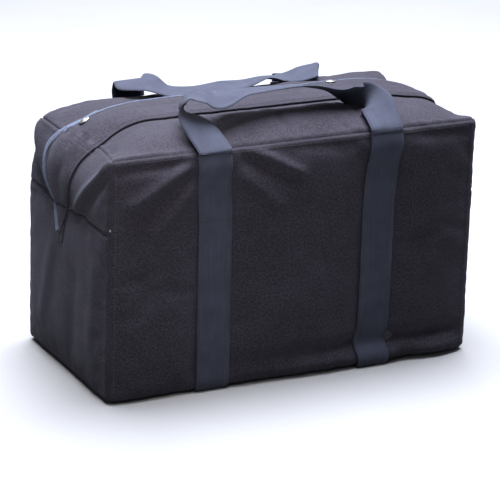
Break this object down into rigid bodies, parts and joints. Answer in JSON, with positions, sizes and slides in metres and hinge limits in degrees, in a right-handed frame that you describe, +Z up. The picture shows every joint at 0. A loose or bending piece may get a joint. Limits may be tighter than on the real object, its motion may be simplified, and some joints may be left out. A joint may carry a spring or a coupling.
{
  "type": "soft carry case",
  "caption": "Soft box-shaped canvas carry case with a zipped top under a snapped storm flap, foam lining, webbing slings and carry handles.",
  "frame": {"origin": "on the ground, under the middle of the case", "axes": "+X along the case's length, +Y towards the rear, +Z up; -Y is the front"},
  "size_m": [0.621, 0.3134, 0.4416],
  "materials": {
    "canvas": "heavy plain-weave canvas, charcoal",
    "webbing": "ribbed cotton webbing, slate blue-grey",
    "zip_tape": "woven zip tape, pale slate",
    "zip_teeth": "moulded zip teeth, grey",
    "nickel": "nickel plated",
    "foam": "cloth-faced foam",
    "board": "hardboard"
  },
  "bodies": {
    "case_body": {"front_panel": "canvas", "rear_panel": "canvas", "base_panel": "canvas", "left_end_lower_panel": "canvas", "left_end_upper_panel": "canvas", "right_end_lower_panel": "canvas", "right_end_upper_panel": "canvas", "left_front_gusset": "canvas", "left_rear_gusset": "canvas", "right_front_gusset": "canvas", "right_rear_gusset": "canvas", "left_zip_corner": "zip_tape", "right_zip_corner": "zip_tape", "left_zip_tail": "zip_tape", "right_zip_tail": "zip_tape", "left_zip_stop_tab": "canvas", "right_zip_stop_tab": "canvas", "left_sling_strap": "webbing", "right_sling_strap": "webbing", "base_board": "board", "base_foam_pad": "foam", "front_foam_pad": "foam", "rear_foam_pad": "foam", "left_foam_pad": "foam", "right_foam_pad": "foam", "left_flap_end": "canvas", "right_flap_end": "canvas", "snap_cap_left": "nickel", "snap_stud_left": "nickel"},
    "front_lid": {"front_lid_panel": "canvas", "front_zip_tape": "zip_tape", "front_zip_teeth": "zip_teeth"},
    "rear_lid": {"rear_lid_panel": "canvas", "rear_zip_tape": "zip_tape", "rear_zip_teeth": "zip_teeth", "snap_stud_middle": "nickel", "snap_stud_right": "nickel"},
    "storm_flap": {"storm_flap": "canvas", "snap_cap_middle": "nickel", "snap_cap_right": "nickel"},
    "left_slider": {"left_zip_slider": "nickel"},
    "right_slider": {"right_zip_slider": "nickel"},
    "left_pull": {"left_zip_pull": "nickel"},
    "right_pull": {"right_zip_pull": "nickel"},
    "front_handle": {"front_handle": "webbing"},
    "rear_handle": {"rear_handle": "webbing"}
  },
  "joints": [
    {"name": "front_lid_hinge", "type": "hinge", "parent": "case_body", "child": "front_lid", "pos_m": [0, -0.1525, 0.376], "axis": [1, 0, 0], "range_deg": [0, 80]},
    {"name": "rear_lid_hinge", "type": "hinge", "parent": "case_body", "child": "rear_lid", "pos_m": [0, 0.1525, 0.376], "axis": [-1, 0, 0], "range_deg": [0, 80]},
    {"name": "storm_flap_hinge", "type": "hinge", "parent": "front_lid", "child": "storm_flap", "pos_m": [0, -0.035, 0.3928], "axis": [1, 0, 0], "range_deg": [0, 90]},
    {"name": "left_slider_slide", "type": "slide", "parent": "front_lid", "child": "left_slider", "axis": [-1, 0, 0], "range_m": [0, 0.16]},
    {"name": "right_slider_slide", "type": "slide", "parent": "front_lid", "child": "right_slider", "axis": [1, 0, 0], "range_m": [0, 0.16]},
    {"name": "left_pull_hinge", "type": "hinge", "parent": "left_slider", "child": "left_pull", "pos_m": [-0.02, 0, 0.3961], "axis": [0, 1, 0], "range_deg": [0, 90]},
    {"name": "right_pull_hinge", "type": "hinge", "parent": "right_slider", "child": "right_pull", "pos_m": [0.02, 0, 0.3961], "axis": [0, -1, 0], "range_deg": [0, 90]},
    {"name": "front_handle_hinge", "type": "hinge", "parent": "front_lid", "child": "front_handle", "pos_m": [0, -0.1565, 0.38], "axis": [1, 0, 0], "range_deg": [0, 100]},
    {"name": "rear_handle_hinge", "type": "hinge", "parent": "rear_lid", "child": "rear_handle", "pos_m": [0, 0.1565, 0.38], "axis": [-1, 0, 0], "range_deg": [0, 100]}
  ],
  "couplings": [
    {"joint": "rear_lid_hinge", "follows": "front_lid_hinge", "ratio": 1},
    {"joint": "left_pull_hinge", "follows": "storm_flap_hinge", "ratio": 1},
    {"joint": "right_pull_hinge", "follows": "storm_flap_hinge", "ratio": 1}
  ]
}
